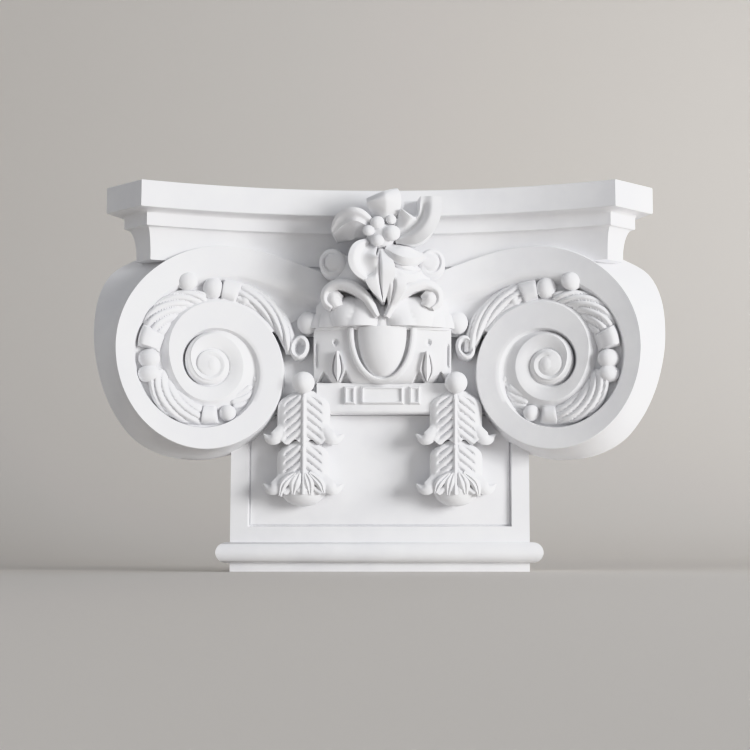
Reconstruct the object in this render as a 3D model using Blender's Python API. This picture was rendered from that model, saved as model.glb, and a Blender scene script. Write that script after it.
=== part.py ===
"""A moulded pilaster capital: one cast piece with a flat back, two scrolls, a flower and hanging husks.

Metres, +Z up. +X runs along the wall and +Y goes into it. The origin is on the underside, at the middle
of the pilaster's shaft. A projection is a distance out from the wall.
"""
import math

import bmesh
import bpy
from mathutils import Matrix, Vector

# Shaft: the flat neck that continues the pilaster below
HEIGHT = 0.260
NECK_WIDTH = 0.205
NECK_DEPTH = 0.054
FILLET_HEIGHT = 0.006
ASTRAGAL_RADIUS = 0.007
ASTRAGAL_REACH = 0.0088
PANEL_MARGIN = 0.012
PANEL_SILL = 0.0105
PANEL_DEPTH = 0.003

# Abacus: the top slab, hollowed in plan, with its corners cut
FRONT_MIDDLE = 0.076
FRONT_CORNER = 0.110
CORNER_X = 0.1575
CUT_ACROSS = 0.0283
CUT_BACK = 0.026
FASCIA_HEIGHT = 0.018
ARRIS_INSET = 0.0025
SOFFIT_INSET = 0.0098
SOFFIT_DROP = 0.0022
BAND_HEIGHT = 0.0083
STEP_INSET = 0.0013
BELL_INSET = 0.0168
BELL_HEIGHT = 0.0195
BELL_SKIRT = 0.0025

# Volutes: radii from the eye at these angles, counted from the top towards the outer side
EYE_X = 0.1144
EYE_DROP = 0.1204
FACE_INSET = 0.012
WHORL_ANGLES = (-60, -40, -15, 0, 90, 180, 270, 360, 450, 540, 630, 720, 810, 900, 990, 1080, 1170)
WHORL_RADII = (0.109, 0.0925, 0.0835, 0.081, 0.059, 0.0575, 0.0485, 0.0427, 0.0256, 0.0254,
               0.0226, 0.0206, 0.012, 0.011, 0.0103, 0.0087, 0.0075)
BAND_ANGLES = (-60, -40, -15, 0, 90, 180, 270, 360, 450, 540, 630, 720, 810)
BAND_RADII = (0.088, 0.0715, 0.0635, 0.0606, 0.0486, 0.043, 0.033, 0.0244, 0.0183, 0.0138,
              0.0125, 0.0118, 0.0098)
WHORL_START = -60
WHORL_END = 810
TURN_STEPS = 30
CHANNEL_DEPTH = 0.0075
EYE_RADIUS = 0.0062
EYE_SINK = 0.001
EYE_CROWN = 0.0005
CHANNEL_DRAFT = 0.0008
RIM_DEPTH = 0.026
FLARE_ANGLES = (-60, 0, 35, 50, 75, 90, 105, 120, 135, 150, 165, 180, 195, 240, 300)
FLARE_WIDTHS = (0.0, 0.004, 0.0185, 0.0255, 0.0207, 0.018, 0.0165, 0.0157, 0.015, 0.0118, 0.0078, 0.005,
                0.0028, 0.0, 0.0)

# Echinus: the egg-and-dart moulding between the scrolls
ECHINUS_HALF = 0.047
ECHINUS_DROP = 0.095
ECHINUS_HEIGHT = 0.037
ECHINUS_MIDDLE = 0.078
ECHINUS_SIDE = 0.070
ECHINUS_UNDERCUT = 0.012
EGG_HALF = 0.0165
EGG_REACH = 0.0075
RING_HALF = 0.0225
RING_WIDTH = 0.0035
RING_REACH = 0.0015
RING_DROP = 0.001
DART_X = 0.031
DART_HALF = 0.0035
DART_REACH = 0.0045
DART_NECK = 0.001
DART_POINT = 0.0008
TABLET_HEIGHT = 0.0125
TABLET_HALF = 0.0148
TABLET_SIDE_X = 0.022
TABLET_SIDE_HALF = 0.0037
TABLET_REACH = 0.0025
TABLET_GAP = 0.002
BED_HALF = 0.045
BED_REACH = 0.0645
BED_LIP = 0.006

# Husks: the two hanging drops, each two husks under a bead
DROP_X = 0.0525
DROP_BEAD_RADIUS = 0.0077
DROP_BEAD_PROUD = 0.003
HUSK_HALF = 0.0205
HUSK_REACH = 0.067
HUSK_CROWN = 0.006
HUSK_TIP_HALF = 0.0255
HUSK_TIP_WIDTHS = (0.005, 0.0048, 0.0028)
HUSK_TIP_CROWN = 0.003
HUSK_GROOVE = 0.0009
BUD_LENGTH = 0.010
BUD_CLEARANCE = 0.01411

# Flower and leaves
FLOWER_DROP = 0.0355
FLOWER_REACH = 0.106
LOBES = 5
LOBE_CIRCLE = 0.0055
LOBE_RADIUS = 0.0052
STEM_WIDTHS = (0.020, 0.016, 0.012)
STEM_CROWN = 0.006
LEAF_REACH = 0.082
BELL_HALF = 0.075
BELL_REACH = 0.060

# Petals: x, height and projection from the flower's middle, half widths, crown
PETALS = {
    "petal_top": (((0.0, 0.004, 0.0), (-0.001, 0.018, 0.004), (-0.0015, 0.030, -0.003)),
                  (0.005, 0.012, 0.006), 0.003),
    "petal_upper_left": (((-0.004, 0.002, 0.0), (-0.019, 0.008, 0.001), (-0.034, 0.002, -0.010)),
                         (0.005, 0.0115, 0.005), 0.004),
    "petal_lower_left": (((-0.005, -0.004, 0.0), (-0.016, -0.013, 0.0), (-0.015, -0.028, -0.009)),
                         (0.005, 0.009, 0.005), 0.004),
    "petal_down": (((0.0, -0.006, 0.0), (0.0005, -0.024, -0.002), (0.001, -0.043, -0.016)),
                   (0.005, 0.011, 0.0015), 0.004),
    "petal_lower_right": (((0.004, -0.005, 0.0), (0.015, -0.016, 0.001), (0.029, -0.019, -0.008)),
                          (0.005, 0.009, 0.004), 0.004),
    "petal_right": (((0.005, 0.003, 0.0), (0.020, 0.010, 0.002), (0.034, 0.018, -0.009)),
                    (0.005, 0.0115, 0.008), 0.004),
}

# Leaves on the right: x, height above the echinus, projection from the leaf plane, half widths, crown
LEAVES = {
    "scroll_leaf": (((-0.001, 0.007, 0.004), (0.009, 0.020, 0.010), (0.024, 0.025, 0.010),
                     (0.037, 0.021, 0.006), (0.041, 0.011, 0.002)),
                    (0.003, 0.0045, 0.006, 0.0055, 0.005), 0.003),
    "broad_leaf": (((0.003, 0.001, -0.006), (0.016, 0.011, 0.004), (0.030, 0.010, -0.002),
                    (0.040, 0.002, -0.010)), (0.006, 0.010, 0.009, 0.004), 0.004),
    "side_leaf": (((0.006, 0.031, 0.002), (0.021, 0.034, 0.006), (0.033, 0.045, 0.0)),
                  (0.006, 0.010, 0.008), 0.003),
    "bud_leaf": (((0.040, 0.001, -0.010), (0.049, 0.006, -0.008), (0.057, 0.006, -0.012)),
                 (0.004, 0.0055, 0.003), 0.003),
}

# Knobs on the right: x, height above the echinus, projection and radius
KNOBS = ((0.034, 0.042, 0.083, 0.0082), (0.052, 0.003, 0.068, 0.0075))

# Garland: first and last angle, half widths, crown; then bead angle, share across the channel and radius
SHEATHS = (
    (-70, -22, (0.004, 0.009, 0.010, 0.009, 0.007), 0.005),
    (12, 66, (0.006, 0.0085, 0.009, 0.008, 0.007), 0.0045),
    (98, 168, (0.006, 0.009, 0.009, 0.008, 0.006), 0.0045),
    (208, 244, (0.004, 0.005, 0.005, 0.004, 0.002), 0.003),
)
GARLAND_BEADS = ((-79, 0.25, 0.0068), (-12, 0.5, 0.0078), (0, 0.5, 0.0072), (17, 0.25, 0.0062),
                 (76, 0.4, 0.0072), (87, 0.45, 0.0065), (103, 0.4, 0.0045), (181, 0.55, 0.0058),
                 (196, 0.5, 0.0052), (254, 0.5, 0.002))

SHEATH_LIFT = 0.001
SHEATH_GROOVE = 0.0008
BEAD_LIFT = 0.002

ROUND_STEPS = 4
OVERLAP = 0.004
SINK = 0.010

WALL_Y = NECK_DEPTH / 2
ARC_RADIUS = (CORNER_X ** 2 + (FRONT_CORNER - FRONT_MIDDLE) ** 2) / (2 * (FRONT_CORNER - FRONT_MIDDLE))
ARC_CENTRE = FRONT_MIDDLE + ARC_RADIUS
SIDE_CENTRE_X = CORNER_X + CUT_ACROSS + math.sqrt(ARC_RADIUS ** 2 - CORNER_X ** 2)
SIDE_CENTRE = FRONT_CORNER - CUT_BACK - CORNER_X
EYE_Z = HEIGHT - EYE_DROP
FLOWER_Z = HEIGHT - FLOWER_DROP
ECHINUS_TOP = HEIGHT - ECHINUS_DROP
ECHINUS_BOTTOM = ECHINUS_TOP - ECHINUS_HEIGHT
TABLET_TOP = ECHINUS_BOTTOM - TABLET_GAP
BED_BOTTOM = TABLET_TOP - TABLET_HEIGHT - BED_LIP
PANEL_BOTTOM = FILLET_HEIGHT + 2 * ASTRAGAL_RADIUS + PANEL_SILL
BUD_BOTTOM = PANEL_BOTTOM + BUD_CLEARANCE
DROP_TOP = ECHINUS_BOTTOM - 0.7 * DROP_BEAD_RADIUS
HUSK_LENGTH = (DROP_TOP - BUD_BOTTOM - BUD_LENGTH) / 2
HUSK_TOPS = (DROP_TOP, DROP_TOP - HUSK_LENGTH)


def point(x, projection, z):
    """A place given by its projection from the wall."""
    return Vector((x, WALL_Y - projection, z))


def front(x, inset=0.0):
    """Projection of the hollow front at x, set back by an inset."""
    return ARC_CENTRE - math.sqrt((ARC_RADIUS + inset) ** 2 - x * x)


def smooth(knots, values, t):
    """A smooth curve through values at knots, as a cubic between each pair."""
    last = len(knots) - 1
    k = 0
    while k < last - 1 and t > knots[k + 1]:
        k += 1

    def slope(i):
        a, b = max(i - 1, 0), min(i + 1, last)
        return (values[b] - values[a]) / (knots[b] - knots[a])

    span = knots[k + 1] - knots[k]
    u = (t - knots[k]) / span
    return (values[k] * (2 * u ** 3 - 3 * u ** 2 + 1) + values[k + 1] * (3 * u ** 2 - 2 * u ** 3)
            + slope(k) * span * (u ** 3 - 2 * u ** 2 + u) + slope(k + 1) * span * (u ** 3 - u ** 2))


def path(points, t):
    """A place on the smooth curve through control points, for t from 0 to 1."""
    knots = [k / (len(points) - 1) for k in range(len(points))]
    return [smooth(knots, axis, t) for axis in zip(*points)]


def finish_mesh(name, mesh_data):
    """Turns a bmesh into an object whose faces point outwards."""
    bmesh.ops.recalc_face_normals(mesh_data, faces=mesh_data.faces)
    mesh = bpy.data.meshes.new(name)
    mesh_data.to_mesh(mesh)
    mesh_data.free()
    made = bpy.data.objects.new(name, mesh)
    bpy.context.scene.collection.objects.link(made)
    return made


def skin(name, rows):
    """Skins closed loops of equal length into one closed shape, with a flat face on each end."""
    bm = bmesh.new()
    loops = [[bm.verts.new(p) for p in row] for row in rows]
    count = len(rows[0])
    for low, high in zip(loops, loops[1:]):
        for k in range(count):
            n = (k + 1) % count
            bm.faces.new((low[k], low[n], high[n], high[k]))
    bm.faces.new(loops[0])
    bm.faces.new(loops[-1])
    return finish_mesh(name, bm)


def box(name, half, low, high, back, reach):
    """A block centred on x = 0, from the projection back out to reach."""
    corners = ((-half, back), (half, back), (half, reach), (-half, reach))
    return skin(name, [[point(x, p, z) for x, p in corners] for z in (low, high)])


def mirrored(made):
    """A copy of a shape on the other side of the middle."""
    bm = bmesh.new()
    bm.from_mesh(made.data)
    for vert in bm.verts:
        vert.co.x = -vert.co.x
    bm.normal_update()
    return finish_mesh(made.name + "_mirrored", bm)


# Shaft

def neck():
    made = box("neck", NECK_WIDTH / 2, 0.0, HEIGHT - FASCIA_HEIGHT, 0.0, NECK_DEPTH)
    panel = box("panel", NECK_WIDTH / 2 - PANEL_MARGIN, PANEL_BOTTOM, BED_BOTTOM + OVERLAP / 2,
                NECK_DEPTH - PANEL_DEPTH, NECK_DEPTH + PANEL_DEPTH)
    panel.hide_render = True
    panel.display_type = "WIRE"
    cut = made.modifiers.new("Panel", "BOOLEAN")
    cut.operation = "DIFFERENCE"
    cut.solver = "EXACT"
    cut.object = panel
    return made


def astragal():
    """The half-round bead that runs round the foot of the neck."""
    centre = ASTRAGAL_REACH - ASTRAGAL_RADIUS
    rows = []
    for k in range(2 * ROUND_STEPS + 1):
        a = math.pi * (k / (2 * ROUND_STEPS) - 0.5)
        out = centre + ASTRAGAL_RADIUS * math.cos(a)
        z = FILLET_HEIGHT + ASTRAGAL_RADIUS * (1 + math.sin(a))
        x = NECK_WIDTH / 2 + out
        reach = NECK_DEPTH + out
        rows.append([point(-x, 0, z), point(x, 0, z), point(x, reach, z), point(-x, reach, z)])
    return skin("astragal", rows)


# Abacus

def plan(inset, z, steps=8, side_steps=3):
    """The abacus's outline at one height, inset all round but for the wall, with its sides hollow too."""
    length = math.hypot(CUT_ACROSS, CUT_BACK)
    across, back = CUT_BACK / length, CUT_ACROSS / length
    reach = across * CORNER_X + back * FRONT_CORNER - inset
    radius = ARC_RADIUS + inset
    turn = math.asin((reach - back * ARC_CENTRE) / radius)
    lean = math.atan2(back, across)
    corner_x = radius * math.sin(turn + lean)
    side_reach = reach - across * SIDE_CENTRE_X - back * SIDE_CENTRE
    start = math.asin(side_reach / radius) + math.atan2(across, back)
    end = math.asin(-SIDE_CENTRE / radius)
    half = [point(corner_x * k / steps, front(corner_x * k / steps, inset), z) for k in range(steps + 1)]
    for k in range(side_steps + 1):
        a = start + (end - start) * k / side_steps
        half.append(point(SIDE_CENTRE_X - radius * math.cos(a), SIDE_CENTRE + radius * math.sin(a), z))
    return half + [Vector((-p.x, p.y, p.z)) for p in reversed(half[1:])]


def abacus():
    fascia = HEIGHT - FASCIA_HEIGHT
    rows = [(0.0, HEIGHT), (0.0, fascia), (ARRIS_INSET, fascia)]
    band = fascia - SOFFIT_DROP
    bell = band - BAND_HEIGHT
    rows += [(SOFFIT_INSET, band), (SOFFIT_INSET, bell)]
    start = SOFFIT_INSET + STEP_INSET
    for k in range(ROUND_STEPS + 1):
        a = math.pi / 2 * k / ROUND_STEPS
        rows.append((start + (BELL_INSET - start) * math.sin(a), bell - BELL_HEIGHT * (1 - math.cos(a))))
    rows.append((BELL_INSET, bell - BELL_HEIGHT - BELL_SKIRT))
    return skin("abacus", [plan(inset, z) for inset, z in rows])


# Volutes

def whorl(angle):
    return smooth(WHORL_ANGLES, WHORL_RADII, angle)


def scroll_place(angle, radius, sunk=0.0):
    """A place on the scroll's face, which follows the hollow of the front."""
    a = math.radians(angle)
    x = EYE_X + radius * math.sin(a)
    return point(x, front(x, FACE_INSET) - sunk, EYE_Z + radius * math.cos(a))


def volute():
    """One scroll as a single skin: a flat band, its sunk channel, the eye, and the flared rim to the wall."""
    bm = bmesh.new()
    step = 360 / TURN_STEPS
    count = round((WHORL_END - WHORL_START) / step)
    sections = []
    for k in range(count + 1):
        angle = WHORL_START + k * step
        band = smooth(BAND_ANGLES, BAND_RADII, angle)
        foot = min(whorl(angle + 360) + CHANNEL_DRAFT, band - 2 * CHANNEL_DRAFT)
        depth = CHANNEL_DEPTH * (1.0 if angle < 180 else max(0.45, 1 - (angle - 180) / 900))
        places = ((whorl(angle), 0.0), (band, 0.0), (band - CHANNEL_DRAFT, depth), (foot, depth))
        sections.append([bm.verts.new(scroll_place(angle, r, sunk)) for r, sunk in places])
    last = len(sections[0]) - 1
    for k in range(count):
        here, after = sections[k], sections[k + 1]
        for j in range(last):
            bm.faces.new((here[j], after[j], after[j + 1], here[j + 1]))
        if k + 1 + TURN_STEPS <= count:
            inner, next_inner = sections[k + TURN_STEPS][0], sections[k + 1 + TURN_STEPS][0]
            bm.faces.new((here[last], after[last], next_inner, inner))
    # The eye fills the last turn
    centre = bm.verts.new(scroll_place(0, 0, -EYE_CROWN))
    first = count - TURN_STEPS
    eye = [bm.verts.new(scroll_place(WHORL_START + k * step, EYE_RADIUS, EYE_SINK))
           for k in range(first, count)]
    eye.append(eye[0])
    for k in range(TURN_STEPS):
        bm.faces.new((sections[first + k][last], sections[first + k + 1][last], eye[k + 1], eye[k]))
        bm.faces.new((eye[k], eye[k + 1], centre))
    bm.faces.new((eye[0], sections[first][last], *sections[count]))
    # The rim flares back from the outline, then draws in again towards the wall
    edge = [sections[k][0] for k in range(TURN_STEPS + 1)] + sections[0][:0:-1]
    starts = [vert.co.copy() for vert in edge]
    for share, flare in ((0.5, 0.35), (1.0, 1.0), (None, 0.0)):
        ring = [bm.verts.new(rim_place(start, share, flare)) for start in starts]
        for k in range(len(edge)):
            n = (k + 1) % len(edge)
            bm.faces.new((edge[k], edge[n], ring[n], ring[k]))
        edge = ring
    bm.faces.new(edge)
    return finish_mesh("volute", bm)


def rim_place(start, share, flare):
    """A place on the rim, a share of its flare out behind a place of the outline: share None is the wall."""
    x, z = start.x - EYE_X, start.z - EYE_Z
    angle = math.degrees(math.atan2(x, z))
    if angle < WHORL_START:
        angle += 360
    grow = 1 + flare * smooth(FLARE_ANGLES, FLARE_WIDTHS, angle) / math.hypot(x, z)
    projection = 0.0 if share is None else WALL_Y - start.y - RIM_DEPTH * share
    return point(EYE_X + x * grow, projection, EYE_Z + z * grow)


# Carved ornament

def ribbon(name, spine, widths, crown, along=6, across=3, flutes=0, groove=0.0, slant=0.35):
    """A leaf: a crowned strip along a curved spine of x, z and projection, with its underside in the body."""
    rows = []
    for k in range(along + 1):
        t = k / along
        x, z, p = path(spine, t)
        ahead, behind = path(spine, min(t + 0.02, 1.0)), path(spine, max(t - 0.02, 0.0))
        across_x, across_z = behind[1] - ahead[1], ahead[0] - behind[0]
        length = math.hypot(across_x, across_z)
        half = path([(w,) for w in widths], t)[0] / length
        row = []
        for j in range(across + 1):
            s = 2 * j / across - 1
            lift = crown * (1 - s * s)
            if flutes:
                lift += groove * math.cos(2 * math.pi * flutes * (t + slant * abs(s))) * min(1.0, 4 * abs(s))
            row.append(point(x + across_x * half * s, p + lift, z + across_z * half * s))
        row.append(point(x + across_x * half, p - SINK, z + across_z * half))
        row.append(point(x - across_x * half, p - SINK, z - across_z * half))
        rows.append(row)
    return skin(name, rows)


def ball(name, x, z, projection, radius):
    bm = bmesh.new()
    bmesh.ops.create_uvsphere(bm, u_segments=7, v_segments=5, radius=radius)
    bmesh.ops.rotate(bm, verts=bm.verts, matrix=Matrix.Rotation(math.radians(90), 3, "X"))
    bmesh.ops.translate(bm, verts=bm.verts, vec=point(x, projection, z))
    return finish_mesh(name, bm)


def echinus_front(x, z):
    """Projection of the egg-and-dart moulding, a quarter round that swings out in the middle."""
    share = min(1.0, (ECHINUS_TOP - z) / (ECHINUS_TOP - ECHINUS_BOTTOM))
    swing = (ECHINUS_MIDDLE - ECHINUS_SIDE) * (1 - (x / ECHINUS_HALF) ** 2)
    return ECHINUS_SIDE + swing - ECHINUS_UNDERCUT * (1 - math.sqrt(1 - share ** 2))


def echinus():
    rows = []
    for k in range(ROUND_STEPS + 1):
        z = ECHINUS_TOP - (ECHINUS_TOP - ECHINUS_BOTTOM) * math.sin(math.pi / 2 * k / ROUND_STEPS)
        xs = [ECHINUS_HALF * (j / ROUND_STEPS - 1) for j in range(2 * ROUND_STEPS + 1)]
        row = [point(x, echinus_front(x, z), z) for x in xs]
        back = NECK_DEPTH - OVERLAP
        rows.append(row + [point(ECHINUS_HALF, back, z), point(-ECHINUS_HALF, back, z)])
    return skin("echinus", rows)


def egg():
    rows = []
    for k in range(ROUND_STEPS + 2):
        share = min(0.995, math.sin(math.pi / 2 * k / (ROUND_STEPS + 1)))
        z = ECHINUS_TOP - (ECHINUS_TOP - ECHINUS_BOTTOM) * share
        shrink = math.sqrt(1 - share ** 2.2)
        base = echinus_front(0, z) - OVERLAP
        half = EGG_HALF * shrink
        reach = (EGG_REACH + OVERLAP) * (0.35 + 0.65 * shrink)
        turns = [math.pi * j / (2 * ROUND_STEPS) for j in range(2 * ROUND_STEPS + 1)]
        row = [point(half * math.cos(a), base + reach * math.sin(a), z) for a in turns]
        rows.append(row + [point(-half, base - OVERLAP, z), point(half, base - OVERLAP, z)])
    return skin("egg", rows)


def egg_ring():
    """The raised border round the egg, a U open at the top."""
    spine = []
    for k in range(9):
        a = math.pi * k / 8
        x = RING_HALF * math.cos(a)
        z = ECHINUS_TOP - RING_DROP - (ECHINUS_TOP - ECHINUS_BOTTOM) * 0.97 * math.sin(a)
        spine.append((x, z, echinus_front(x, z) + RING_REACH))
    return ribbon("egg_ring", spine, (RING_WIDTH / 2,) * 2, RING_REACH, along=14, across=2)


def dart(x):
    heights = [ECHINUS_BOTTOM + ECHINUS_HEIGHT * share for share in (0.6, 0.35, 0.07)]
    spine = [(x, z, echinus_front(x, z)) for z in heights]
    return ribbon("dart", spine, (DART_NECK, DART_HALF, DART_POINT), DART_REACH, along=4, across=2)


def tablet(x, half):
    middle = TABLET_TOP - TABLET_HEIGHT / 2
    edge = TABLET_REACH * 0.5
    rows = []
    for shrink, reach in ((0.0, -OVERLAP), (0.0, TABLET_REACH - edge), (edge, TABLET_REACH)):
        w, h, reach = half - shrink, TABLET_HEIGHT / 2 - shrink, BED_REACH + reach
        rows.append([point(x - w, reach, middle - h), point(x + w, reach, middle - h),
                     point(x + w, reach, middle + h), point(x - w, reach, middle + h)])
    return skin("tablet", rows)


def husk(top):
    """One husk of a drop, fluted either side of its stem, with two tips that curl outwards."""
    bottom = top - HUSK_LENGTH
    spine = [(DROP_X, top, HUSK_REACH - HUSK_CROWN / 2), (DROP_X, top - HUSK_LENGTH / 3, HUSK_REACH),
             (DROP_X, bottom + HUSK_LENGTH / 3, HUSK_REACH), (DROP_X, bottom, HUSK_REACH - HUSK_CROWN / 3)]
    widths = (HUSK_HALF * 0.45, HUSK_HALF * 0.82, HUSK_HALF * 0.85, HUSK_HALF)
    made = [ribbon("husk", spine, widths, HUSK_CROWN, along=13, across=4, flutes=4,
                   groove=HUSK_GROOVE, slant=-0.3)]
    for side in (-1, 1):
        curl = [(DROP_X + side * HUSK_HALF * 0.55, bottom + HUSK_LENGTH * 0.3, HUSK_REACH),
                (DROP_X + side * HUSK_HALF * 0.9, bottom + HUSK_LENGTH * 0.12, HUSK_REACH + HUSK_CROWN / 3),
                (DROP_X + side * HUSK_TIP_HALF, bottom + HUSK_LENGTH * 0.1, HUSK_REACH - HUSK_CROWN / 2)]
        made.append(ribbon("husk_tip", curl, HUSK_TIP_WIDTHS, HUSK_TIP_CROWN, along=4, across=2))
    return made


def drop():
    made = [ball("drop_bead", DROP_X, ECHINUS_BOTTOM, HUSK_REACH + DROP_BEAD_PROUD, DROP_BEAD_RADIUS)]
    for top in HUSK_TOPS:
        made += husk(top)
    bud = [(DROP_X, BUD_BOTTOM + BUD_LENGTH * 1.4, HUSK_REACH - HUSK_CROWN / 2),
           (DROP_X, BUD_BOTTOM + BUD_LENGTH * 0.4, HUSK_REACH - HUSK_CROWN * 0.7),
           (DROP_X, BUD_BOTTOM, HUSK_REACH - HUSK_CROWN * 1.7)]
    widths = (HUSK_HALF * 0.6, HUSK_HALF * 0.55, HUSK_HALF * 0.2)
    made.append(ribbon("bud", bud, widths, HUSK_CROWN / 2, along=4))
    return made


def channel_place(angle, share=0.5, lift=0.0):
    """A place in the channel as x, z and projection, a share of the way from the band to the next turn."""
    band = smooth(BAND_ANGLES, BAND_RADII, max(angle, WHORL_START))
    inner = whorl(max(angle, WHORL_START) + 360)
    a = math.radians(angle)
    radius = band + (inner - band) * share
    x = EYE_X + radius * math.sin(a)
    return (x, EYE_Z + radius * math.cos(a), front(x, FACE_INSET) - CHANNEL_DEPTH + lift)


def sheath(first, last, halves, crown):
    """A fluted sheath of the garland that lies along the channel."""
    spine = [channel_place(first + (last - first) * k / 4, lift=SHEATH_LIFT) for k in range(5)]
    return ribbon("sheath", spine, halves, crown, along=9, across=4, flutes=3,
                  groove=SHEATH_GROOVE, slant=0.3)


def garland():
    made = []
    for first, last, halves, crown in SHEATHS:
        made.append(sheath(first, last, halves, crown))
    for angle, share, radius in GARLAND_BEADS:
        x, z, p = channel_place(angle, share, BEAD_LIFT)
        made.append(ball("garland_bead", x, z, p, radius))
    return made


def flower():
    made = []
    for name, (spine, widths, crown) in PETALS.items():
        made.append(ribbon(name, [(x, FLOWER_Z + z, FLOWER_REACH + p) for x, z, p in spine], widths, crown))
    for k in range(LOBES):
        a = 2 * math.pi * (k + 0.25) / LOBES
        x, z = LOBE_CIRCLE * math.cos(a), FLOWER_Z + LOBE_CIRCLE * math.sin(a)
        made.append(ball("lobe", x, z, FLOWER_REACH, LOBE_RADIUS))
    stem = [(0.0, ECHINUS_TOP - OVERLAP / 2, FRONT_MIDDLE - FACE_INSET),
            (0.0, (ECHINUS_TOP + FLOWER_Z) / 2, FRONT_MIDDLE),
            (0.0, FLOWER_Z + LOBE_CIRCLE, FLOWER_REACH - FACE_INSET)]
    made.append(ribbon("stem", stem, STEM_WIDTHS, STEM_CROWN, along=4))
    return made


def leaves():
    made = []
    for name, (spine, widths, crown) in LEAVES.items():
        spine = [(x, ECHINUS_TOP + z, LEAF_REACH + p) for x, z, p in spine]
        made.append(ribbon(name, spine, widths, crown, along=7))
    for x, z, p, radius in KNOBS:
        made.append(ball("knob", x, ECHINUS_TOP + z, p, radius))
    return made


def priming():
    """Smooth white priming, matt, with a faint sheen."""
    made = bpy.data.materials.new("primed_white")
    made.use_nodes = True
    shader = made.node_tree.nodes["Principled BSDF"]
    shader.inputs["Base Color"].default_value = (0.86, 0.86, 0.87, 1.0)
    shader.inputs["Roughness"].default_value = 0.6
    shader.inputs["Metallic"].default_value = 0.0
    return made


def main():
    for made in list(bpy.data.objects):
        bpy.data.objects.remove(made)
    capital = neck()
    capital.name = "capital"
    right = [volute(), *drop(), *garland(), *leaves(), dart(DART_X), tablet(TABLET_SIDE_X, TABLET_SIDE_HALF)]
    left = [mirrored(made) for made in right]
    middle = [astragal(), abacus(), echinus(), egg(), egg_ring(), tablet(0.0, TABLET_HALF), *flower(),
              box("bed", BED_HALF, BED_BOTTOM, ECHINUS_BOTTOM + OVERLAP, 0.0, BED_REACH),
              box("bell", BELL_HALF, ECHINUS_TOP - OVERLAP, FLOWER_Z, 0.0, BELL_REACH)]
    pieces = bpy.data.collections.new("joined_pieces")
    for made in middle + right + left:
        made.hide_render = True
        made.display_type = "WIRE"
        pieces.objects.link(made)
        bpy.context.scene.collection.objects.unlink(made)
    bpy.context.scene.collection.children.link(pieces)
    join = capital.modifiers.new("Join", "BOOLEAN")
    join.operation = "UNION"
    join.solver = "EXACT"
    join.operand_type = "COLLECTION"
    join.collection = pieces
    capital.data.materials.append(priming())


main()
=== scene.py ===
# %% [markdown]
# # A moulded pilaster capital
#
# The real thing is one casting in white primed polyurethane: a flat neck with a framed panel, an
# abacus hollowed in plan, two scrolls with a garland in their channels, an egg-and-dart moulding,
# two hanging drops of husks, a flower and leaves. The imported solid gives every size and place. This
# script models the same forms again with fine surfaces, joins them into one piece and finishes it.

# %% Load the frame
import math

import bmesh
import bpy
from mathutils import Matrix, Vector


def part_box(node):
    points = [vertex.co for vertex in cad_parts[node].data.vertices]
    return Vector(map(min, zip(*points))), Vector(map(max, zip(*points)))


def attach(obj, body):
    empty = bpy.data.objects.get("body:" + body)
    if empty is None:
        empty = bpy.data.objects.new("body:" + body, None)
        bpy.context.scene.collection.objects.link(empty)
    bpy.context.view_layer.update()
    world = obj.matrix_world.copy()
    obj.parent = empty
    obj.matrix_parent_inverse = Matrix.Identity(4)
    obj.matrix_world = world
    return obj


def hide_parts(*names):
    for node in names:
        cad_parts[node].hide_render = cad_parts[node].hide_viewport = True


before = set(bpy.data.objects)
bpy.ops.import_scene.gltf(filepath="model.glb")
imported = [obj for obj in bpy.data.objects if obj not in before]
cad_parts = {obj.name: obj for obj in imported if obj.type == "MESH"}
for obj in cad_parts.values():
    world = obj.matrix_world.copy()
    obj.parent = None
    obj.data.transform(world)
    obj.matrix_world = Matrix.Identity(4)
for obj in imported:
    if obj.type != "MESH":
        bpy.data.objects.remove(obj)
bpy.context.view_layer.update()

LOW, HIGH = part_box("capital")
print("The solid reaches", [round(v, 4) for v in LOW], "to", [round(v, 4) for v in HIGH])

# %% [markdown]
# ## Places and sizes
#
# A relief is thought of from the wall outwards, so a place is given as x along the wall, a
# projection out from it, and a height. The main sizes are the solid's own: the top and the wall
# are read from the frame, and the rest repeats its driving dimensions, in metres.

# %% Main sizes
WALL_Y = HIGH.y
HEIGHT = HIGH.z
NECK_WIDTH = 0.205
NECK_DEPTH = 0.054
FRONT_MIDDLE = 0.076
FRONT_CORNER = 0.110
CORNER_X = 0.1575
EYE_X = 0.1144
EYE_Z = HEIGHT - 0.1204
ECHINUS_TOP = HEIGHT - 0.095
ECHINUS_BOTTOM = ECHINUS_TOP - 0.037
FLOWER_Z = HEIGHT - 0.0355
ARC_RADIUS = (CORNER_X ** 2 + (FRONT_CORNER - FRONT_MIDDLE) ** 2) / (2 * (FRONT_CORNER - FRONT_MIDDLE))
ARC_CENTRE = FRONT_MIDDLE + ARC_RADIUS


def point(x, projection, z):
    """A place given by its projection out from the wall."""
    return Vector((x, WALL_Y - projection, z))


def front(x, inset=0.0):
    """Projection of the hollow front at x, set back by an inset."""
    return ARC_CENTRE - math.sqrt((ARC_RADIUS + inset) ** 2 - x * x)


print("Radius of the hollow front", round(ARC_RADIUS, 4))

# %% [markdown]
# ## Smooth curves through a few values
#
# A carver draws a spiral or a leaf's spine through a few measured points with a bent lath. A cubic
# Hermite curve does the same here: it takes a handful of values and passes smoothly through each.

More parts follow.
